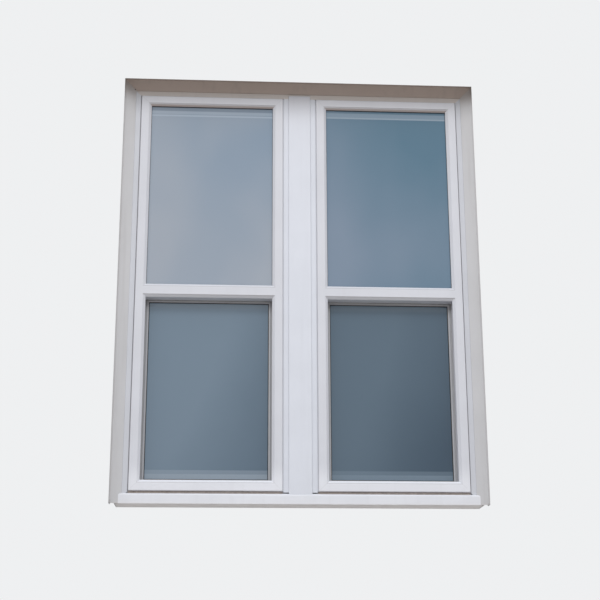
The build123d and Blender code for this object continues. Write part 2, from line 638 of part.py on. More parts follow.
def make_sash_glazing():
    """Glass, gasket, beads and blocks of the sash."""
    opening = (SASH_HALF, SASH_Z0, SASH_Z1)
    outer, inner, spacer = glass_unit(*opening, SASH_BITE, SASH_GLASS_Y)
    gasket = ring(rectangle(0, SASH_BITE, SASH_FRONT + SASH_LEG, SASH_GLASS_Y), *opening)
    bead = rectangle(SASH_BEAD_EDGE, SASH_POCKET, SASH_BEAD_Y, SASH_BACK)
    blocks = setting_blocks(SASH_Z0 - SASH_POCKET, SASH_POCKET - SASH_BITE, SASH_GLASS_Y)
    return {
        "sash_glass_outer": outer,
        "sash_glass_inner": inner,
        "sash_spacer": spacer,
        "sash_gasket": gasket,
        "sash_beads": beads(bead, *opening),
        "sash_setting_blocks": blocks,
    }


def make_weatherstrip():
    """Pile strips on the sash: one down each stile and one along the check rail."""
    x1 = SASH_HALF + SASH_OUT - PILE_INSET
    stile = block(x1 - PILE_T, x1, WEB_BACK + PILE_PLAY, SASH_BODY_FRONT, SHOE_Z0, SASH_TOP)
    half = HALF_OPENING - PILE_INSET
    z0 = SASH_TOP - CHECK_RAIL_DROP + PILE_T
    top = block(-half, half, RAIL_BACK + PILE_PLAY, CHECK_RAIL_FRONT, z0, z0 + PILE_T)
    return group([stile, mirror(stile, about=Plane.YZ), top])


def make_lift_rail():
    """Pull along the bottom of the sash: a plate on its room side with a hooked upper edge."""
    foot = LOWER_Z0 - LIFT_RAIL_FOOT
    height = LIFT_RAIL_FOOT + LIFT_RAIL_TOP
    wall = LIFT_RAIL_T
    reach = SASH_BACK + LIFT_RAIL_REACH
    section = rectangle(0, height, SASH_BACK, SASH_BACK + wall)
    section += rectangle(height - wall, height, SASH_BACK, reach)
    section += rectangle(height - LIFT_RAIL_LIP, height, reach - wall, reach)
    outer_edge = section.vertices().group_by(Axis.X)[-1].sort_by(Axis.Y)[-1]
    section = fillet(outer_edge, radius=min(LIFT_RAIL_EDGE, wall))
    half = HALF_OPENING - LIFT_RAIL_INSET
    return along_x(section, -half, half, foot)


def twisted_strip(width, thickness, z0, z1):
    """Flat strip twisted at the rod's pitch; its turn at a height depends on that height alone."""
    steps = max(2, round((z1 - z0) / ROD_PITCH * ROD_SECTIONS))
    heights = [z0 + (z1 - z0) * i / steps for i in range(steps + 1)]
    strip = Rectangle(width, thickness)
    return loft([Pos(0, 0, z) * Rot(0, 0, 360 * z / ROD_PITCH) * strip for z in heights])


def both_sides(solid):
    """The same solid at both balances of a unit."""
    return group(Pos(x, TRACK_MID_Y, 0) * solid for x in (-BALANCE_X, BALANCE_X))


def make_balance_tube():
    """Thin tube, open at the foot, with a cross hole for its screw near the head."""
    wall = Circle(TUBE_R) - Circle(TUBE_R - TUBE_WALL)
    tube = along_z(wall, TUBE_Z0, TUBE_Z1)
    reach = TUBE_R + SCREW_R
    return tube - cross_hole(SCREW_R + SCREW_PLAY, -reach, reach, 0, TUBE_Z1 - SCREW_DROP)


def make_nut():
    """Nut at the foot of a tube: spigot in the tube, flange under it, twisted slot for the rod."""
    z0, z1 = TUBE_Z0 - NUT_FLANGE, TUBE_Z0 + NUT_SPIGOT
    nut = along_z(Circle(TUBE_R - TUBE_WALL - NUT_PLAY), TUBE_Z0, z1)
    nut += along_z(Circle(TUBE_R), z0, TUBE_Z0)
    play = 2 * NUT_SLOT_PLAY
    return nut - twisted_strip(ROD_W + play, ROD_T + play, z0 - NUT_FLANGE, z1 + NUT_FLANGE)


def make_shoes():
    """Shoes that run in the balance channels and carry the rods under the sash."""
    x0 = HALF_OPENING + TRACK_DEPTH + SHOE_PLAY
    x1 = HALF_OPENING + CHANNEL_OUT - SHOE_PLAY
    y0, y1 = CHANNEL_Y0 + SHOE_PLAY, CHANNEL_Y1 - SHOE_PLAY
    shoe = block(x0, x1, y0, y1, SHOE_Z0, SHOE_Z0 + SHOE_H) + shoe_tenon(0)
    socket = along_z(Circle(ROD_W / 2 + SOCKET_PLAY), ROD_Z0, SHOE_Z0 + SHOE_H)
    shoe -= Pos(BALANCE_X, TRACK_MID_Y, 0) * socket
    return group([shoe, mirror(shoe, about=Plane.YZ)])


def make_balance_screw():
    """Screw through the head of the tube into the wall behind it, pointing along +X."""
    seat = -TUBE_R
    shank_l = TUBE_R + TUBE_SEAT + CHANNEL_WALL + TUBE_R
    shank = cross_hole(SCREW_R, seat, seat + shank_l, 0, 0)
    return shank + cross_hole(SCREW_HEAD_R, seat - SCREW_HEAD_T, seat, 0, 0)


def make_balance_screws():
    """The four balance screws of the window."""
    screw = Pos(BALANCE_X, TRACK_MID_Y, TUBE_Z1 - SCREW_DROP) * make_balance_screw()
    pair = [screw, mirror(screw, about=Plane.YZ)]
    return group(Pos(x, 0, 0) * one for x in UNITS.values() for one in pair)


def make_lock_case():
    """Lock case on the check rail, hollow at the front where the tongue swings out."""
    half = CASE_W / 2
    case = block(-half, half, SASH_BODY_FRONT, SASH_BACK, SASH_TOP, SASH_TOP + CASE_H)
    corner = min(CASE_CORNER, (SASH_BACK - SASH_BODY_FRONT) / 3)
    case = fillet(case.edges().filter_by(Axis.Z), radius=corner)
    case = fillet(case.faces().sort_by(Axis.Z)[-1].edges(), radius=CASE_EDGE)
    x0, x1 = -CAVITY_SIDE, TONGUE_L + CAVITY_END
    case -= block(x0, x1, 0, SASH_BODY_FRONT + CAVITY_BACK, SASH_TOP, SASH_TOP + CAVITY_H)
    bore = along_z(Circle(SHAFT_R + SHAFT_PLAY), SASH_TOP, SASH_TOP + CASE_H)
    return case - Pos(0, CAM_Y, 0) * bore


def make_lock_cam():
    """Tongue, shaft and lever in one piece; the tongue lies along +X while unlocked."""
    tongue = Cylinder(CAM_R, TONGUE_T) + Pos(TONGUE_L / 2, 0, 0) * Box(TONGUE_L, TONGUE_W, TONGUE_T)
    tongue_z = SASH_TOP + TONGUE_LIFT
    lever_z = SASH_TOP + CASE_H + LEVER_LIFT
    cam = Pos(0, 0, tongue_z + TONGUE_T / 2) * tongue
    cam += along_z(Circle(SHAFT_R), tongue_z, lever_z)
    plan = make_hull((Circle(CAM_R) + Pos(0, LEVER_L - LEVER_TIP_R) * Circle(LEVER_TIP_R)).edges())
    lever = extrude(plan, amount=LEVER_T)
    lever = fillet(lever.faces().sort_by(Axis.Z)[-1].edges(), radius=LEVER_EDGE)
    return Pos(0, CAM_Y, 0) * (cam + Pos(0, 0, lever_z) * lever)


def make_keeper():
    """Keeper on the rear leg of the meeting rail: base, back and roof, open towards the sash."""
    half = KEEPER_W / 2
    keeper = block(-half, half, POCKET_BACK, RAIL_BACK, RAIL_LEG_Z, RAIL_LEG_Z + KEEPER_H)
    inside_z0 = RAIL_LEG_Z + KEEPER_WALL
    inside_z1 = RAIL_LEG_Z + KEEPER_H - KEEPER_WALL
    return keeper - block(-half, half, POCKET_BACK + KEEPER_WALL, FRAME_DEPTH, inside_z0, inside_z1)


def make_unit():
    """All pieces of one unit, about its own middle."""
    rod = twisted_strip(ROD_W, ROD_T, ROD_Z0, ROD_Z1)
    nut = make_nut()
    pieces = {"unit_frame": make_unit_frame(), "keeper": make_keeper()}
    pieces |= make_fixed_glazing()
    pieces |= {"sash_frame": make_sash_frame(), "sash_weatherstrip": make_weatherstrip()}
    pieces |= make_sash_glazing()
    pieces |= {
        "lift_rail": make_lift_rail(),
        "lock_case": make_lock_case(),
        "lock_cam": make_lock_cam(),
        "balance_tubes": both_sides(make_balance_tube()),
        "balance_rods": both_sides(rod),
        "balance_nut_a": Pos(-BALANCE_X, TRACK_MID_Y, 0) * nut,
        "balance_nut_b": Pos(BALANCE_X, TRACK_MID_Y, 0) * nut,
        "balance_shoes": make_shoes(),
    }
    return pieces


def build():
    """Every node of the window, in place."""
    nodes = make_covers() | make_main_frame()
    nodes |= {"mullion_cover": make_mullion_cover(), "mullion_bar": make_mullion_bar()}
    nodes |= {"sill_nose": make_sill_nose(), "balance_screws": make_balance_screws()}
    unit = make_unit()
    for side, x in UNITS.items():
        for name, shape in unit.items():
            nodes[f"{side}_{name}"] = Pos(x, 0, 0) * shape
    for hole in fixing_holes():
        nodes["right_unit_frame"] -= hole
        nodes["left_unit_frame"] -= mirror(hole, about=Plane.YZ)
    return {name: Pos(0, -FRAME_DEPTH / 2, 0) * shape for name, shape in nodes.items()}


os.makedirs("parts", exist_ok=True)
for node, shape in build().items():
    export_step(shape, f"parts/{node}.step")
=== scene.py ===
"""Looks of the twin single-hung window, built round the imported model. Metres, in the frame of the model."""
import math
from functools import reduce
from typing import NamedTuple

import bmesh
import bpy
from mathutils import Matrix, Vector


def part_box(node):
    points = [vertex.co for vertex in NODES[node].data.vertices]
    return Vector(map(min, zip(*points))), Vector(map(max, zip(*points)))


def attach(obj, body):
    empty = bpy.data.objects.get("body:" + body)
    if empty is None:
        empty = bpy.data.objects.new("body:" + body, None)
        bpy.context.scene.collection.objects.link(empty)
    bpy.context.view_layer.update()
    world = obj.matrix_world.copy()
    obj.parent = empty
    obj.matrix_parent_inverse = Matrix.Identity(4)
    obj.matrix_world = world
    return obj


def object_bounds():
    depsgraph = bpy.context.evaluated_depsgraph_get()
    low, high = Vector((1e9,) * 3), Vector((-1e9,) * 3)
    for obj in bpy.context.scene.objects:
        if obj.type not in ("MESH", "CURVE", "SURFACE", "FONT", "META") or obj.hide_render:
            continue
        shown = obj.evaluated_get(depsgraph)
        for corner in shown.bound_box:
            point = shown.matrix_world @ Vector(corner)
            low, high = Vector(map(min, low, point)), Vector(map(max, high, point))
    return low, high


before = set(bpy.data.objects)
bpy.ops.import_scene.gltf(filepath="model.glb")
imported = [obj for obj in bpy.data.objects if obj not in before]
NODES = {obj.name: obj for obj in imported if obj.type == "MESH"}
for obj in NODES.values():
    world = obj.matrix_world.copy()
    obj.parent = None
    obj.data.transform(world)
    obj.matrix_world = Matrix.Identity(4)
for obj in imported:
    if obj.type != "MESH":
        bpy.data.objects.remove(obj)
CAD_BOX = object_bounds()
SIDES = ("left", "right")
FAR = 9.0  # farther off than any part of the window

# Camera, fitted to the edges of the frame in a picture 600 pixels wide, with its angles in degrees.
PICTURE_PX = 600
FOCAL_PX = 1273.6
SENSOR_MM = 36.0
CAMERA_AT = (-0.2183, -3.5839, -0.4732)
CAMERA_YAW = 3.519
CAMERA_PITCH = 16.701
CAMERA_ROLL = -0.176
CAMERA_REACH = 60.0

# Lamps: name, place, aim, size and power.
LAMPS = (
    ("key", (-0.6, -7.4, 6.1), (0, 0, 0.6), 4.5, 445),
    ("room", (0.8, 3.4, 2.4), (0, 0, 0.7), 2.2, 60),
)

# World: the plain background, the light above and below, and between which heights it turns.
BACKGROUND = (0.86, 0.87, 0.88)
SKY_LIGHT = (0.93, 0.97, 1.04)
GROUND_LIGHT = (0.46, 0.40, 0.35)
SKY_STRENGTH = 0.89
GROUND_UP_TO = -0.3
SKY_FROM = 0.6

# Floor: its seen colour, the colour that bounces light, its inset under the foot and its drop below it.
FLOOR_COLOUR = (0.62, 0.62, 0.615)
FLOOR_BOUNCE = (0.46, 0.43, 0.40)
FLOOR_INSET = 0.002
FLOOR_DROP = 0.0005

# Flags: their gap to the covers, their reach to the front, two colours of cloth and each flag's tone.
FLAG_GAP = 0.003
HEAD_FLAG_REACH = 0.095
SIDE_FLAG_REACH = 0.03
FLAG_DARK = (0.09, 0.07, 0.06)
FLAG_PALE = (0.12, 0.10, 0.085)
HEAD_FLAG_TONE = 1.0
SIDE_FLAG_TONE = 2.6

# Colours of the vinyl and what lies on it, linear, and how far its seams and grooves are darkened.
# Painted light: the lighter unit foot and nose. Painted shade: the darker jambs, mullion top, shaded sash,
# cover tops, head cover, head trim and upper bevels, and part of the grime and of the covers' greyer white.
UNIT_WHITE = (0.648, 0.659, 0.702)
UNIT_FOOT_LIGHT = (0.767, 0.778, 0.821)
FRAME_WHITE = (0.691, 0.713, 0.769)
NOSE_LIT_WHITE = (0.767, 0.783, 0.826)
MULLION_TOP_SHADE = (0.626, 0.637, 0.686)
SASH_WHITE = (0.637, 0.648, 0.691)
SASH_SHADED = (0.443, 0.448, 0.464)
JAMB_SHADED_WHITE = (0.605, 0.621, 0.664)
COVER_WHITE = (0.572, 0.572, 0.583)
COVER_TOP_SHADE = (0.389, 0.346, 0.319)
HEAD_COVER_SHADE = (0.43, 0.352, 0.31)
HEAD_TRIM_SHADE = (0.63, 0.588, 0.562)
BEVEL_SHADE = (0.40, 0.35, 0.335)
GRIME_AND_SHADE = (0.20, 0.175, 0.15)
SEALANT = (0.508, 0.443, 0.405)
SEAM_SHARE = 0.2
GROOVE_SHARE = 0.35

# Where those colours change: heights of the fades, depths on the front and the sash, softness of edges.
COVER_FADE = 0.075
MULLION_FADE = 0.12
FOOT_TOP = 0.09
FOOT_FADE = 0.07
FRONT_Y = -0.030
SHADE_BEHIND_GLASS = 0.004
SHADE_OVER_GLASS = 0.008
EDGE_SOFT = 0.001

# Outer panes, with a painted reflection of the sky: pale and dark colour, how far they turn dark across and
# upward, and strength of the painted clouds.
PANES = {
    "left_fixed": ((0.324, 0.362, 0.416), (0.178, 0.259, 0.351), (0.15, 0.42), 0.18),
    "right_fixed": ((0.189, 0.248, 0.324), (0.09, 0.173, 0.243), (0.62, 0.45), 0.20),
    "left_sash": ((0.157, 0.216, 0.275), (0.078, 0.123, 0.171), (0.8, -0.6), 0.08),
    "right_sash": ((0.092, 0.138, 0.184), (0.043, 0.076, 0.113), (1.0, -0.62), 0.08),
}

# Bands on the panes: how far they may run past a pane, softness of their ends, and lip of the gasket.
PAST_PANE = 0.1
BAND_SOFT = 0.0012
GASKET_LIP = 0.004

# Bands at the head of an upper pane, painted: painted shade under its head, then paler bands for what lies
# behind the pane; start and end below its visible edge, strength and colour.
HEAD_SHADE = (0.108, 0.151, 0.205)
HEAD_BANDS = {
    "left_fixed": (
        (0.0195, -PAST_PANE, 0.45, HEAD_SHADE),
        (0.0295, 0.0205, 0.35, (0.389, 0.464, 0.551)),
        (0.0375, 0.0325, 0.65, (0.389, 0.464, 0.551)),
    ),
    "right_fixed": (
        (0.0152, -PAST_PANE, 0.2, HEAD_SHADE),
        (0.0284, 0.0152, 0.85, (0.227, 0.302, 0.378)),
        (0.0335, 0.0284, 1.0, (0.27, 0.346, 0.421)),
    ),
}

# Bands of a sash pane, painted: colours of the lift rail behind it and of the paler head, which is painted
# light against the shade under the meeting rail; their heights and strengths.
RAIL_AND_HEAD = {
    "left_sash": ((0.281, 0.335, 0.389), (0.259, 0.335, 0.41)),
    "right_sash": ((0.173, 0.232, 0.286), (0.162, 0.227, 0.286)),
}
RAIL_LIP = 0.011
RAIL_DEEP = 0.2
RAIL_LIP_SHARE = 0.45
RAIL_SHARE = 0.85
PALE_HEAD = 0.022
PALE_HEAD_SOFT = 0.012

# Unit frames: outer edge to opening, gap at that edge, glass beyond the opening, and meeting rail's height.
UNIT_BODY = 0.033
UNIT_GAP = 0.0025
GLASS_BITE = 0.011
MEETING_RAIL = 0.0395

# Grooves and bevels, outward from the edge of an opening, and half the width of a mitre's seam.
GROOVE_AT = 0.0072
GROOVE_HALF = 0.0016
BEVEL_TOP = 0.0066
BEVEL_SHADE_FROM = 0.4 * BEVEL_TOP
BEVEL_EDGE = 0.0004
SEAM_HALF = 0.001

# Depths of the narrow outer faces and of the back of the gaps in them, and the sill's step before a unit.
NARROW_FACE_Y = -0.0345
GAP_BACK_Y = -0.0275
SILL_STEP = 0.004

# Screw heads: steps around, angles of the dome's rings, and the cross as shares of its top or height.
HEAD_STEPS = 24
DOME_ANGLES = (0.0, 0.35, 0.75, 1.15)
CROSS_ARM = 0.85
CROSS_HALF = 0.16
CROSS_TAPER = 0.8
CROSS_DEPTH = 0.55

# Screws of the locks and keepers.
SCREW_HEAD_R = 0.0026
SCREW_HEAD_H = 0.0014
LOCK_SCREW_X = 0.026
LOCK_SCREW_BACK = 0.0045
LOCK_SCREW_TURNS = (0.4, 1.4)
KEEPER_SCREW_X = 0.018
KEEPER_SCREW_R = 0.0013
KEEPER_SCREW_TURNS = (0.0, 0.9)
KEEPER_WALL = 0.0012

# Corner pin, ribs of the lift rails and sealant.
PIN_R = 0.0023
PIN_H = 0.0007
PIN_INSET = 0.003
PIN_PROUD = 0.0029
PIN_WAY = (0.37, -0.85, -0.37)
PIN_TURN = 0.3
RIB_COUNT = 3
RIB_W = 0.0012
RIB_H = 0.0005
RIB_PITCH = 2.2 * RIB_W
RIB_FROM_EDGE = 0.004
RIB_SHORTER = 0.006
RIB_SIDES = 10
STRIP_ROUND = 0.2
SEAL_BEHIND = 0.001
SILL_SEAL_BEHIND = 0.0005


class Nodes:
    """A node tree under construction, with short ways to add and link nodes."""

    def __init__(self, tree):
        self.tree = tree

    def feed(self, node, socket, value):
        """Set one input: a socket is linked, a number or colour is stored."""
        target = node.inputs[socket]
        if isinstance(value, bpy.types.NodeSocket):
            self.tree.links.new(value, target)
        elif target.type == "RGBA":
            target.default_value = (*value, 1.0)
        else:
            target.default_value = value

    def add(self, kind, inputs=None, **settings):
        """Add a node with its settings and inputs."""
        node = self.tree.nodes.new(kind)
        for name, value in settings.items():
            setattr(node, name, value)
        for socket, value in (inputs or {}).items():
            self.feed(node, socket, value)
        return node

    def maths(self, operation, first, second=0.0):
        """A number worked out from one or two others."""
        return self.add("ShaderNodeMath", {0: first, 1: second}, operation=operation).outputs[0]

    def distance(self, first, second):
        """How far two numbers lie apart."""
        return self.maths("ABSOLUTE", self.maths("SUBTRACT", first, second))

    def least(self, numbers):
        """The smallest of several numbers."""
        return reduce(lambda first, second: self.maths("MINIMUM", first, second), numbers)

    def span(self, value, low, high, start=0.0, end=1.0):
        """Value read between low and high, given back between start and end with soft ends."""
        names = ("Value", "From Min", "From Max", "To Min", "To Max")
        inputs = dict(zip(names, (value, low, high, start, end)))
        return self.add("ShaderNodeMapRange", inputs, interpolation_type="SMOOTHSTEP").outputs[0]

    def mix(self, share, first, second):
        """One colour turning into another."""
        node = self.add("ShaderNodeMix", {"Factor": share}, data_type="RGBA")
        self.feed(node, 6, first)
        self.feed(node, 7, second)
        return node.outputs[2]

    def seen(self):
        """1 for a ray that shows a thing, straight or in metal and glass, 0 for one that only lights."""
        path = self.add("ShaderNodeLightPath").outputs
        either = self.maths("MAXIMUM", path["Is Camera Ray"], path["Is Glossy Ray"])
        return self.maths("MAXIMUM", either, path["Is Transmission Ray"])


class Material(Nodes):
    """A node material under construction."""

    def __init__(self, name):
        self.data = bpy.data.materials.new(name)
        self.data.use_nodes = True
        super().__init__(self.data.node_tree)
        self.shader = self.tree.nodes["Principled BSDF"]
        self.place = self.add("ShaderNodeTexCoord").outputs["Object"]

    def axes(self):
        """The X, Y and Z of the point that is shaded."""
        split = self.add("ShaderNodeSeparateXYZ", {0: self.place})
        return split.outputs["X"], split.outputs["Y"], split.outputs["Z"]

    def noise(self, scale, detail=3.0, stretch=(1, 1, 1)):
        """Noise from 0 to 1; a stretch below 1 draws its pattern out along that axis."""
        mapped = self.add("ShaderNodeMapping", {"Vector": self.place, "Scale": stretch})
        inputs = {"Vector": mapped.outputs[0], "Scale": scale, "Detail": detail}
        return self.add("ShaderNodeTexNoise", inputs).outputs[0]

    def bump(self, height, strength, distance):
        """Bend the shading normal by a height."""
        inputs = {"Height": height, "Strength": strength, "Distance": distance}
        self.feed(self.shader, "Normal", self.add("ShaderNodeBump", inputs).outputs[0])

    def finish(self, **inputs):
        """Set the shader's own sockets; an underscore stands for a space."""
        for name, value in inputs.items():
            self.feed(self.shader, name.replace("_", " "), value)
        return self.data


class Front(NamedTuple):
    """A second colour of a profile, in front of a Y and below a Z, with the height of its fade there."""

    colour: tuple
    back: float = FAR
    top: float = FAR
    fade: float = EDGE_SOFT


def corner_seams(mat, rings):
    """How near a point is to a welded mitre, 1 on the line, for rings given as node names."""
    x, _, z = mat.axes()
    off_lines = []
    for node in rings:
        low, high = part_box(node)
        across = mat.distance(x, (low[0] + high[0]) / 2)
        up = mat.distance(z, (low[2] + high[2]) / 2)
        from_side = mat.maths("SUBTRACT", (high[0] - low[0]) / 2, across)
        from_end = mat.maths("SUBTRACT", (high[2] - low[2]) / 2, up)
        off_lines.append(mat.distance(from_side, from_end))
    return mat.span(mat.least(off_lines), 0.0, SEAM_HALF, 1.0, 0.0)


def daylight_openings():
    """Edges of the four openings in the unit frames: x and x, then z and z, upper before lower."""
    edges = []
    for side in SIDES:
        low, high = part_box(f"{side}_unit_frame")
        glass_low, glass_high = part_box(f"{side}_fixed_glass_outer")
        x0, x1 = low[0] + UNIT_BODY, high[0] - UNIT_BODY
        upper = glass_low[2] + GLASS_BITE
        edges.append((x0, x1, upper, glass_high[2] - GLASS_BITE))
        edges.append((x0, x1, low[2] + UNIT_BODY, upper - MEETING_RAIL))
    return edges


def bevel_grooves(mat):
    """How near a point is to the grooves over and under the openings, beside their bevels."""
    x, y, z = mat.axes()
    off_lines = []
    for x0, x1, z0, z1 in daylight_openings():
        across = mat.distance(x, (x0 + x1) / 2)
        up = mat.distance(z, (z0 + z1) / 2)
        beside = mat.maths("SUBTRACT", across, (x1 - x0) / 2 + GROOVE_AT)
        off_line = mat.distance(up, (z1 - z0) / 2 + GROOVE_AT)
        off_lines.append(mat.maths("MAXIMUM", off_line, beside))
    line = mat.span(mat.least(off_lines), 0.0, GROOVE_HALF, 1.0, 0.0)
    return mat.maths("MULTIPLY", line, mat.span(y, NARROW_FACE_Y - EDGE_SOFT, NARROW_FACE_Y, 1.0, 0.0))


def head_bevels(mat):
    """How near a point is to the glass on the two bevels over the upper openings, which look down."""
    x, _, z = mat.axes()
    x0, x1, _, z1 = daylight_openings()[0]
    across = mat.distance(mat.maths("ABSOLUTE", x), -(x0 + x1) / 2)
    above = mat.maths("SUBTRACT", z, z1)
    within = mat.maths("SUBTRACT", mat.maths("ADD", above, (x1 - x0) / 2), across)
    on_bevel = mat.span(above, BEVEL_SHADE_FROM, BEVEL_TOP, 1.0, 0.0)
    return mat.maths("MULTIPLY", on_bevel, mat.span(within, -BEVEL_EDGE, BEVEL_EDGE))


def vinyl(name, white, weather_and_shade, rings=(), grooves=False, front=None):
    """Extruded white vinyl: faint mottling, rain streaks, grime with painted shade in corners, darkened
    mitres and grooves, and painted shade on the bevels over the upper openings.
    """
    mat = Material(name)
    if front is not None:
        _, y, z = mat.axes()
        outside = mat.span(y, front.back - EDGE_SOFT, front.back + EDGE_SOFT, 1.0, 0.0)
        below = mat.span(z, front.top - front.fade, front.top, 1.0, 0.0)
        white = mat.mix(mat.maths("MULTIPLY", outside, below), white, front.colour)
    mottle = mat.span(mat.noise(9.0), 0.3, 0.7, 1.0, 0.965)
    colour = mat.add("ShaderNodeVectorMath", {0: white, "Scale": mottle}, operation="SCALE").outputs[0]
    streaks = mat.span(mat.noise(60.0, 4.0, (1, 1, 0.05)), 0.5, 0.8, 0.0, weather_and_shade)
    colour = mat.mix(streaks, colour, GRIME_AND_SHADE)
    # Grime with painted shade: corners and gaps that the occlusion finds are darkened.
    occlusion = mat.add("ShaderNodeAmbientOcclusion", {"Distance": 0.012}, samples=8).outputs["AO"]
    colour = mat.mix(mat.span(occlusion, 0.2, 0.8, 0.22 + weather_and_shade, 0.0), colour, GRIME_AND_SHADE)
    height = mat.noise(700.0, 2.0)
    if rings:
        seam = corner_seams(mat, rings)
        colour = mat.mix(mat.maths("MULTIPLY", seam, SEAM_SHARE), colour, GRIME_AND_SHADE)
        height = mat.maths("SUBTRACT", height, mat.maths("MULTIPLY", seam, 2.0))
    if grooves:
        # Painted shade on the bevels over the upper openings, which look down.
        colour = mat.mix(head_bevels(mat), colour, BEVEL_SHADE)
        colour = mat.mix(mat.maths("MULTIPLY", bevel_grooves(mat), GROOVE_SHARE), colour, GRIME_AND_SHADE)
    mat.bump(height, 0.12, 0.0001)
    gloss = mat.span(mat.noise(35.0), 0.3, 0.7, 0.34, 0.46)
    return mat.finish(Base_Color=colour, Roughness=gloss)


def clear_glass(name):
    """Inner pane: nearly clear, with a thin uneven film of dust."""
    mat = Material(name)
    film = mat.span(mat.noise(5.0, 5.0), 0.35, 0.75, 0.04, 0.08)
    return mat.finish(
        Base_Color=(0.42, 0.50, 0.57), Roughness=0.05, Alpha=film, Specular_IOR_Level=0.9, IOR=1.52)


def painted_reflection_glass(name, node, pale, dark, tilt, clouds, bands):
    """Outer pane: opaque blue-grey with a painted reflection of the sky that shades across the pane, with
    soft painted clouds and bands at the ends.

    The bands are painted as well: painted shade under the head of an upper pane, painted light at the head
    of a sash pane, and paler bands for what lies close behind the pane. Each has its two heights, the
    softness of its ends, its strength and its colour.
    """
    mat = Material(name)
    low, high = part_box(node)
    x, _, z = mat.axes()
    across = mat.span(x, low[0], high[0])
    up = mat.span(z, low[2], high[2])
    share = mat.maths("ADD", mat.maths("MULTIPLY", across, tilt[0]), mat.maths("MULTIPLY", up, tilt[1]))
    soft = mat.span(mat.noise(3.0, 2.0, (1, 1, 0.7)), 0.35, 0.65, -clouds, clouds)
    share = mat.add("ShaderNodeClamp", {0: mat.maths("ADD", share, soft)}).outputs[0]
    colour = mat.mix(share, pale, dark)
    for start, end, ends_soft, strength, band_colour in bands:
        inside = mat.span(z, start - ends_soft, start + ends_soft)
        outside = mat.span(z, end - ends_soft, end + ends_soft)
        place = mat.maths("MULTIPLY", mat.maths("SUBTRACT", inside, outside), strength)
        colour = mat.mix(place, colour, band_colour)
    return mat.finish(Base_Color=colour, Roughness=0.05, Specular_IOR_Level=0.45, IOR=1.52)


def metal(name, colour, rough, grain, scratch=0.0):
    """Bare or plated metal with a drawn grain along Z and slight stains."""
    mat = Material(name)
    lines = mat.noise(grain, 2.0, (1, 1, 0.03))
    stains = mat.span(mat.noise(25.0), 0.4, 0.75, 0.0, 0.35)
    tint = mat.mix(stains, colour, tuple(0.72 * part for part in colour))
    mat.bump(lines, 0.15 + scratch, 0.00008)
    gloss = mat.span(lines, 0.2, 0.8, rough - 0.07, rough + 0.07)
    return mat.finish(Base_Color=tint, Metallic=1.0, Roughness=gloss)


def spacer_metal():
    """Folded aluminium spacer with a row of fine breathing holes."""
    mat = Material("spacer_aluminium")
    cells = mat.add("ShaderNodeTexVoronoi", {"Vector": mat.place, "Scale": 160.0, "Randomness": 0.0})
    holes = mat.span(cells.outputs["Distance"], 0.10, 0.16, 0.6, 0.0)
    colour = mat.mix(holes, (0.62, 0.64, 0.66), (0.08, 0.08, 0.09))
    mat.bump(mat.noise(500.0), 0.1, 0.0001)
    return mat.finish(Base_Color=colour, Metallic=0.85, Roughness=0.42)


def rubber(name, shade):
    """Matt black rubber with a fine skin and a little dust."""
    mat = Material(name)
    dust = mat.span(mat.noise(80.0, 4.0), 0.45, 0.8, 0.0, 0.5)
    colour = mat.mix(dust, (shade, shade, shade * 1.05), (0.12, 0.115, 0.105))
    mat.bump(mat.noise(1500.0, 2.0), 0.25, 0.0001)
    return mat.finish(Base_Color=colour, Roughness=0.78)


def pile_fabric():
    """Short woven pile: dense tufts, darker between them."""
    mat = Material("pile")
    tufts = mat.add("ShaderNodeTexVoronoi", {"Vector": mat.place, "Scale": 900.0}).outputs["Distance"]
    colour = mat.mix(mat.span(tufts, 0.1, 0.6), (0.34, 0.35, 0.37), (0.11, 0.115, 0.12))
    mat.bump(tufts, 0.9, 0.0006)
    return mat.finish(Base_Color=colour, Roughness=0.95, Sheen_Weight=0.4, Sheen_Roughness=0.5)


def enamel():
    """White enamel over a die casting, with a slight orange peel."""
    mat = Material("lock_enamel")
    worn = mat.span(mat.noise(120.0, 5.0), 0.66, 0.74, 0.0, 0.5)
    colour = mat.mix(worn, (0.74, 0.75, 0.76), (0.50, 0.50, 0.49))
    mat.bump(mat.noise(420.0, 2.0), 0.2, 0.0002)
    return mat.finish(Base_Color=colour, Roughness=0.27, Coat_Weight=0.3, Coat_Roughness=0.12)


def nylon():
    """Natural nylon, a little translucent."""
    mat = Material("nylon")
    colour = mat.mix(mat.span(mat.noise(60.0), 0.3, 0.7), (0.74, 0.73, 0.69), (0.66, 0.65, 0.60))
    mat.bump(mat.noise(900.0), 0.15, 0.0001)
    depth = (0.002, 0.002, 0.002)
    return mat.finish(Base_Color=colour, Roughness=0.45, Subsurface_Weight=0.15, Subsurface_Radius=depth)


def sealant():
    """Old sealant, matt and dirty, a little uneven along the joint."""
    mat = Material("sealant")
    dirt = mat.span(mat.noise(120.0, 4.0), 0.3, 0.7)
    colour = mat.mix(dirt, SEALANT, tuple(0.78 * part for part in SEALANT))
    mat.bump(mat.noise(400.0, 3.0), 0.3, 0.0002)
    return mat.finish(Base_Color=colour, Roughness=0.8)


def dress(material, *names):
    """Give carried-over nodes a material."""
    for name in names:
        for slot in NODES[name].material_slots:
            slot.material = material


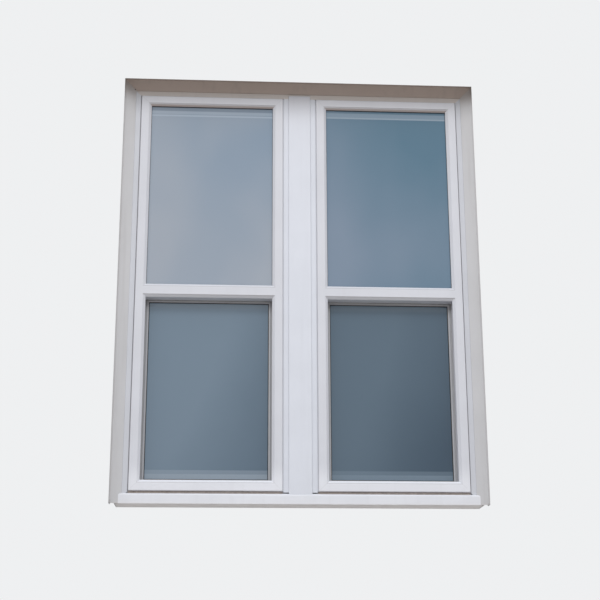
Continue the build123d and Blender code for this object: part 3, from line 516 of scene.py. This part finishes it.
def dress_vinyl():
    """The white profiles, outside in."""
    # Painted shade: the side covers darken to a warm brown towards their tops; below that they are a greyer
    # white that is partly painted shade.
    below_painted_top = Front(COVER_WHITE, top=CAD_BOX[1][2], fade=COVER_FADE)
    dress(vinyl("cover_vinyl", COVER_TOP_SHADE, 0.10, front=below_painted_top), "left_jamb_cover", "right_jamb_cover")
    # Painted shade: the front of the head cover is a dark warm brown.
    painted_shade_front = Front(HEAD_COVER_SHADE, back=FRONT_Y)
    dress(vinyl("head_cover_vinyl", COVER_WHITE, 0.16, front=painted_shade_front), "head_cover")
    # Painted shade: the front of the frame's head is a greyer white.
    painted_shade_front = Front(HEAD_TRIM_SHADE, back=FRONT_Y)
    dress(vinyl("head_trim_vinyl", FRAME_WHITE, 0.06, front=painted_shade_front), "frame_head")
    dress(vinyl("frame_vinyl", FRAME_WHITE, 0.04), "frame_sill", "centre_mullion")
    # Painted light: the sill nose is a lighter white.
    dress(vinyl("nose_vinyl", NOSE_LIT_WHITE, 0.04), "sill_nose")
    # Painted shade: the mullion cover darkens towards its top.
    lower = Front(FRAME_WHITE, top=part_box("mullion_cover")[1][2], fade=MULLION_FADE)
    dress(vinyl("mullion_cover_vinyl", MULLION_TOP_SHADE, 0.04, front=lower), "mullion_cover")
    # Painted shade: the frame's jambs are a darker white.
    dress(vinyl("jamb_vinyl", JAMB_SHADED_WHITE, 0.04), "frame_left_jamb", "frame_right_jamb")
    units = [f"{side}_unit_frame" for side in SIDES]
    # Painted light: the front of the unit frames is lighter near their foot.
    foot = Front(UNIT_FOOT_LIGHT, FRONT_Y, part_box(units[0])[0][2] + FOOT_TOP, FOOT_FADE)
    dress(vinyl("unit_vinyl", UNIT_WHITE, 0.03, units, grooves=True, front=foot), *units)
    dress(vinyl("bead_vinyl", UNIT_WHITE, 0.02), *(f"{side}_fixed_beads" for side in SIDES))
    sashes = [f"{side}_sash_frame" for side in SIDES]
    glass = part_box("left_sash_glass_outer")
    shaded = Front(SASH_SHADED, glass[0][1] + SHADE_BEHIND_GLASS, glass[1][2] + SHADE_OVER_GLASS)
    dress(vinyl("sash_vinyl", SASH_WHITE, 0.03, sashes, front=shaded), *sashes)
    trims = [f"{side}_{part}" for side in SIDES for part in ("sash_beads", "lift_rail")]
    dress(vinyl("sash_trim_vinyl", SASH_WHITE, 0.02), *trims)


def dress_glass():
    """Clear inner panes, and outer panes with a painted reflection, each with the painted shade and light it
    shows.
    """
    clear = clear_glass("inner_glass")
    dress(clear, *(f"{side}_{part}_glass_inner" for side in SIDES for part in ("fixed", "sash")))
    rail_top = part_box("left_lift_rail")[1][2]
    sash_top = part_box("left_sash_glass_outer")[1][2]
    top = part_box("left_fixed_gasket")[1][2] - GASKET_LIP
    bands = {}
    for pane, steps in HEAD_BANDS.items():
        bands[pane] = [(top - low, top - high, BAND_SOFT, *looks) for low, high, *looks in steps]
    for pane, (rail, head) in RAIL_AND_HEAD.items():
        bands[pane] = [
            (rail_top - RAIL_LIP, rail_top, BAND_SOFT, RAIL_LIP_SHARE, rail),
            (rail_top - RAIL_DEEP, rail_top - RAIL_LIP, BAND_SOFT, RAIL_SHARE, rail),
            # Painted light: the head of a sash pane is paler.
            (sash_top - PALE_HEAD, sash_top + PAST_PANE, PALE_HEAD_SOFT, 1.0, head),
        ]
    for pane, looks in PANES.items():
        node = f"{pane}_glass_outer"
        dress(painted_reflection_glass(f"{pane}_painted_reflection_glass", node, *looks, bands[pane]), node)


def dress_hardware():
    """Rubber, pile, metal, enamel and nylon parts. Gives back the steel, for the added screws."""
    both = {
        "fixed_gasket": rubber("gasket_rubber", 0.030),
        "fixed_setting_blocks": rubber("block_rubber", 0.018),
        "fixed_spacer": spacer_metal(),
        "sash_weatherstrip": pile_fabric(),
        "lock_case": enamel(),
        "balance_tubes": metal("tube_aluminium", (0.72, 0.73, 0.75), 0.32, 300.0),
        "balance_rods": metal("rod_steel", (0.50, 0.50, 0.52), 0.34, 500.0, 0.2),
        "balance_shoes": nylon(),
    }
    same = {
        "sash_gasket": "fixed_gasket",
        "sash_setting_blocks": "fixed_setting_blocks",
        "sash_spacer": "fixed_spacer",
        "lock_cam": "lock_case",
        "keeper": "lock_case",
        "balance_nut_a": "balance_shoes",
        "balance_nut_b": "balance_shoes",
    }
    both |= {part: both[source] for part, source in same.items()}
    for part, material in both.items():
        dress(material, *(f"{side}_{part}" for side in SIDES))
    dress(metal("bar_aluminium", (0.66, 0.67, 0.68), 0.38, 250.0), "mullion_bar")
    screw_steel = metal("screw_steel", (0.52, 0.52, 0.54), 0.30, 600.0)
    dress(screw_steel, "balance_screws")
    return screw_steel


def piece(name, mesh, material, body):
    """Finish a mesh as an object that rides on a body."""
    data = bpy.data.meshes.new(name)
    mesh.to_mesh(data)
    mesh.free()
    data.materials.append(material)
    made = bpy.data.objects.new(name, data)
    bpy.context.scene.collection.objects.link(made)
    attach(made, body)
    return made


def screw_head(radius, height, turn):
    """Domed screw head with a cross recess, standing on z = 0."""
    mesh = bmesh.new()
    around = [math.tau * i / HEAD_STEPS for i in range(HEAD_STEPS)]
    profile = [(radius * math.cos(angle), height * math.sin(angle)) for angle in DOME_ANGLES]
    rings = []
    for r, z in profile:
        rings.append([mesh.verts.new((r * math.cos(a), r * math.sin(a), z)) for a in around])
    for lower, upper in zip(rings, rings[1:]):
        for i in range(HEAD_STEPS):
            mesh.faces.new((lower[i], lower[i - 1], upper[i - 1], upper[i]))
    top_r, top_z = profile[-1]
    arm, half = top_r * CROSS_ARM, top_r * CROSS_HALF
    cross = [(arm, -half), (arm, half), (half, half), (half, arm), (-half, arm), (-half, half),
             (-arm, half), (-arm, -half), (-half, -half), (-half, -arm), (half, -arm), (half, -half)]
    floor_z = top_z - height * CROSS_DEPTH
    rim = [mesh.verts.new((x, y, top_z)) for x, y in cross]
    floor = [mesh.verts.new((x * CROSS_TAPER, y * CROSS_TAPER, floor_z)) for x, y in cross]
    count = len(cross)
    for i in range(count):
        mesh.faces.new((rim[i - 1], rim[i], floor[i], floor[i - 1]))
    mesh.faces.new(floor)
    edges = [mesh.edges.get((rings[-1][i - 1], rings[-1][i])) for i in range(HEAD_STEPS)]
    edges += [mesh.edges.get((rim[i - 1], rim[i])) for i in range(count)]
    bmesh.ops.triangle_fill(mesh, edges=edges, use_beauty=True)
    mesh.faces.new(rings[0])
    bmesh.ops.recalc_face_normals(mesh, faces=mesh.faces[:])
    bmesh.ops.rotate(mesh, cent=(0, 0, 0), matrix=Matrix.Rotation(turn, 3, "Z"), verts=mesh.verts[:])
    return mesh


def set_at(mesh, place, direction=(0, 0, 1)):
    """Turn a mesh that stands on z = 0 to a direction and move it to its place."""
    turn = Vector((0, 0, 1)).rotation_difference(Vector(direction)).to_matrix()
    bmesh.ops.rotate(mesh, cent=(0, 0, 0), matrix=turn, verts=mesh.verts[:])
    bmesh.ops.translate(mesh, vec=place, verts=mesh.verts[:])
    return mesh


def add_lock_screws(side, material):
    """Two screws in the roof of the lock case, clear of its lever, and two in the back of the keeper."""
    low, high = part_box(f"{side}_lock_case")
    keeper_low, keeper_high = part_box(f"{side}_keeper")
    x, y = (low[0] + high[0]) / 2, (low[1] + high[1]) / 2 + LOCK_SCREW_BACK
    keeper_y, keeper_z = keeper_low[1] + KEEPER_WALL, (keeper_low[2] + keeper_high[2]) / 2
    for index, way in enumerate((-1, 1)):
        head = screw_head(SCREW_HEAD_R, SCREW_HEAD_H, LOCK_SCREW_TURNS[index])
        set_at(head, (x + way * LOCK_SCREW_X, y, high[2]))
        piece(f"{side}_lock_screw_{index}", head, material, f"{side}_sash")
        head = screw_head(KEEPER_SCREW_R, SCREW_HEAD_H / 2, KEEPER_SCREW_TURNS[index])
        set_at(head, (x + way * KEEPER_SCREW_X, keeper_y, keeper_z), (0, 1, 0))
        piece(f"{side}_keeper_screw_{index}", head, material, "root")


def add_corner_pin(material):
    """Dark pin in the open inner end of the covers' mitre at the upper left corner."""
    inner_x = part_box("left_jamb_cover")[1][0]
    inner_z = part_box("head_cover")[0][2]
    front_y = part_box("frame_head")[0][1]
    place = (inner_x - PIN_INSET, front_y - PIN_PROUD, inner_z + PIN_INSET)
    pin = set_at(screw_head(PIN_R, PIN_H, PIN_TURN), place, PIN_WAY)
    piece("corner_pin", pin, material, "root")


def add_grip_ribs(side, material):
    """Fine ribs along the top of the lift rail's hook."""
    low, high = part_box(f"{side}_lift_rail")
    middle_x, z = (low[0] + high[0]) / 2, high[2] - RIB_W / 2 + RIB_H
    radius, length = RIB_W / 2, high[0] - low[0] - RIB_SHORTER
    along_x = Matrix.Rotation(math.pi / 2, 3, "Y")
    mesh = bmesh.new()
    for index in range(RIB_COUNT):
        rib = bmesh.ops.create_cone(
            mesh, segments=RIB_SIDES, radius1=radius, radius2=radius, depth=length)["verts"]
        place = (middle_x, high[1] - RIB_FROM_EDGE - index * RIB_PITCH, z)
        bmesh.ops.rotate(mesh, cent=(0, 0, 0), matrix=along_x, verts=rib)
        bmesh.ops.translate(mesh, vec=place, verts=rib)
    piece(f"{side}_lift_rail_ribs", mesh, material, f"{side}_sash")


def strip(x, y, z):
    """A straight strip between two values of X, Y and Z with softly rounded long edges."""
    mesh = bmesh.new()
    bmesh.ops.create_cube(mesh, size=1.0)
    size = [high - low for low, high in (x, y, z)]
    centre = [(high + low) / 2 for low, high in (x, y, z)]
    bmesh.ops.scale(mesh, vec=size, verts=mesh.verts[:])
    bmesh.ops.translate(mesh, vec=centre, verts=mesh.verts[:])
    edges = [edge for edge in mesh.edges if edge.calc_length() > 0.9 * max(size)]
    offset = min(size) * STRIP_ROUND
    bmesh.ops.bevel(mesh, geom=edges, offset=offset, segments=3, affect="EDGES", profile=0.5)
    return mesh


def add_seals(side, white, dark):
    """Pale sealant in the gap beside the mullion and dark sealant in the gap over the sill."""
    low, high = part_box(f"{side}_unit_frame")
    beside = (high[0] - UNIT_GAP, high[0]) if side == "left" else (low[0], low[0] + UNIT_GAP)
    up = (low[2] + UNIT_GAP, high[2] - UNIT_GAP)
    seal = strip(beside, (NARROW_FACE_Y + SEAL_BEHIND, GAP_BACK_Y), up)
    piece(f"{side}_mullion_seal", seal, white, "root")
    along = (low[0] + UNIT_GAP, high[0] - UNIT_GAP)
    over_sill = (low[2] - SILL_STEP, low[2] + UNIT_GAP)
    seal = strip(along, (NARROW_FACE_Y + SILL_SEAL_BEHIND, GAP_BACK_Y), over_sill)
    piece(f"{side}_sill_seal", seal, dark, "root")


def plane(name, quads):
    """A flat stage object made of quads."""
    mesh = bmesh.new()
    for quad in quads:
        mesh.faces.new([mesh.verts.new(corner) for corner in quad])
    data = bpy.data.meshes.new(name)
    mesh.to_mesh(data)
    mesh.free()
    made = bpy.data.objects.new(name, data)
    bpy.context.scene.collection.objects.link(made)
    return made


def make_floor():
    """Pale floor round the foot of the window, clear from below.

    It is open under the frame and under the ends of the side covers, which stand out further.
    """
    (cover_x, front_y, foot_z), _ = CAD_BOX
    frame_x, _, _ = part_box("frame_left_jamb")[0]
    _, back_y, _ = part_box("frame_left_jamb")[1]
    _, cover_back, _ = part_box("left_jamb_cover")[1]
    cover_x, frame_x = -cover_x - FLOOR_INSET, -frame_x - FLOOR_INSET
    front_y, back_y, cover_back = front_y + FLOOR_INSET, back_y - FLOOR_INSET, cover_back - FLOOR_INSET
    z = foot_z - FLOOR_DROP

    def quad(x0, x1, y0, y1):
        """One flat piece of floor, its corners in the order that faces up."""
        return [(x0, y0, z), (x1, y0, z), (x1, y1, z), (x0, y1, z)]

    quads = [quad(-FAR, FAR, -FAR, front_y), quad(-FAR, FAR, back_y, FAR)]
    for x0, x1 in ((-FAR, -cover_x), (cover_x, FAR)):
        quads.append(quad(x0, x1, front_y, back_y))
    for x0, x1 in ((-cover_x, -frame_x), (frame_x, cover_x)):
        quads.append(quad(x0, x1, cover_back, back_y))
    floor = plane("floor", quads)
    mat = Material("floor_paint")
    pale = mat.mix(mat.span(mat.noise(1.5), 0.3, 0.7), FLOOR_COLOUR, tuple(0.985 * c for c in FLOOR_COLOUR))
    mat.finish(Base_Color=mat.mix(mat.seen(), FLOOR_BOUNCE, pale), Roughness=0.8)
    clear = mat.add("ShaderNodeBsdfTransparent").outputs[0]
    back_face = mat.add("ShaderNodeNewGeometry").outputs["Backfacing"]
    mixed = mat.add("ShaderNodeMixShader", {0: back_face, 1: mat.shader.outputs[0], 2: clear})
    mat.feed(mat.tree.nodes["Material Output"], "Surface", mixed.outputs[0])
    floor.data.materials.append(mat.data)


def make_flags():
    """Unseen flags round the head and both sides that keep the light from there off the covers."""
    (x0, y0, z0), (x1, _, z1) = CAD_BOX
    x0, x1, z1 = x0 - FLAG_GAP, x1 + FLAG_GAP, z1 + FLAG_GAP
    near = y0 - HEAD_FLAG_REACH
    head = [(x0, near, z1), (x1, near, z1), (x1, y0, z1), (x0, y0, z1)]
    near = y0 - SIDE_FLAG_REACH
    sides = [[(x, near, z0), (x, y0, z0), (x, y0, z1), (x, near, z1)] for x in (x0, x1)]
    for name, quads, tone in (("head_flag", [head], HEAD_FLAG_TONE), ("side_flags", sides, SIDE_FLAG_TONE)):
        flag = plane(name, quads)
        flag.visible_camera = flag.visible_glossy = flag.visible_transmission = False
        mat = Material(f"{name}_cloth")
        weave = mat.span(mat.noise(200.0), 0.3, 0.7)
        dark, pale = ([tone * part for part in colour] for colour in (FLAG_DARK, FLAG_PALE))
        mat.finish(Base_Color=mat.mix(weave, dark, pale), Roughness=0.95)
        flag.data.materials.append(mat.data)


def make_world():
    """Soft light, bright from above and dim from below, and a plain pale background."""
    world = bpy.data.worlds.new("studio")
    bpy.context.scene.world = world
    world.use_nodes = True
    world.node_tree.nodes.clear()
    sky = Nodes(world.node_tree)
    way = sky.add("ShaderNodeTexCoord").outputs["Generated"]
    height = sky.add("ShaderNodeSeparateXYZ", {0: way}).outputs["Z"]
    tint = sky.mix(sky.span(height, GROUND_UP_TO, SKY_FROM), GROUND_LIGHT, SKY_LIGHT)
    light = sky.add("ShaderNodeBackground", {"Color": tint, "Strength": SKY_STRENGTH}).outputs[0]
    plain = sky.add("ShaderNodeBackground", {"Color": BACKGROUND, "Strength": 1.0}).outputs[0]
    chosen = sky.add("ShaderNodeMixShader", {0: sky.seen(), 1: light, 2: plain}).outputs[0]
    sky.add("ShaderNodeOutputWorld", {"Surface": chosen})


def add_lamp(name, place, aim, size, power):
    """A square soft box, itself unseen."""
    data = bpy.data.lights.new(name, "AREA")
    data.size = size
    data.energy = power
    lamp = bpy.data.objects.new(name, data)
    bpy.context.scene.collection.objects.link(lamp)
    lamp.location = place
    lamp.rotation_euler = (Vector(aim) - Vector(place)).to_track_quat("-Z", "Y").to_euler()
    lamp.visible_camera = lamp.visible_glossy = False


def make_camera():
    """Camera from below, as fitted."""
    data = bpy.data.cameras.new("camera")
    data.sensor_width = SENSOR_MM
    data.lens = FOCAL_PX / PICTURE_PX * SENSOR_MM
    data.clip_end = CAMERA_REACH
    camera = bpy.data.objects.new("camera", data)
    bpy.context.scene.collection.objects.link(camera)
    turn = Matrix.Rotation(math.radians(-CAMERA_YAW), 4, "Z")
    tilt = Matrix.Rotation(math.radians(90 + CAMERA_PITCH), 4, "X")
    roll = Matrix.Rotation(math.radians(CAMERA_ROLL), 4, "Z")
    camera.matrix_world = Matrix.Translation(CAMERA_AT) @ turn @ tilt @ roll
    bpy.context.scene.camera = camera


dress_vinyl()
dress_glass()
steel = dress_hardware()
rib_vinyl = vinyl("rib_vinyl", SASH_WHITE, 0.02)
seal_vinyl = vinyl("seal_vinyl", FRAME_WHITE, 0.04)
old_sealant = sealant()
for window_side in SIDES:
    add_lock_screws(window_side, steel)
    add_grip_ribs(window_side, rib_vinyl)
    add_seals(window_side, seal_vinyl, old_sealant)
add_corner_pin(rubber("pin_rubber", 0.02))
make_floor()
make_flags()
make_world()
for lamp_settings in LAMPS:
    add_lamp(*lamp_settings)
make_camera()
bpy.context.scene.view_settings.view_transform = "Standard"
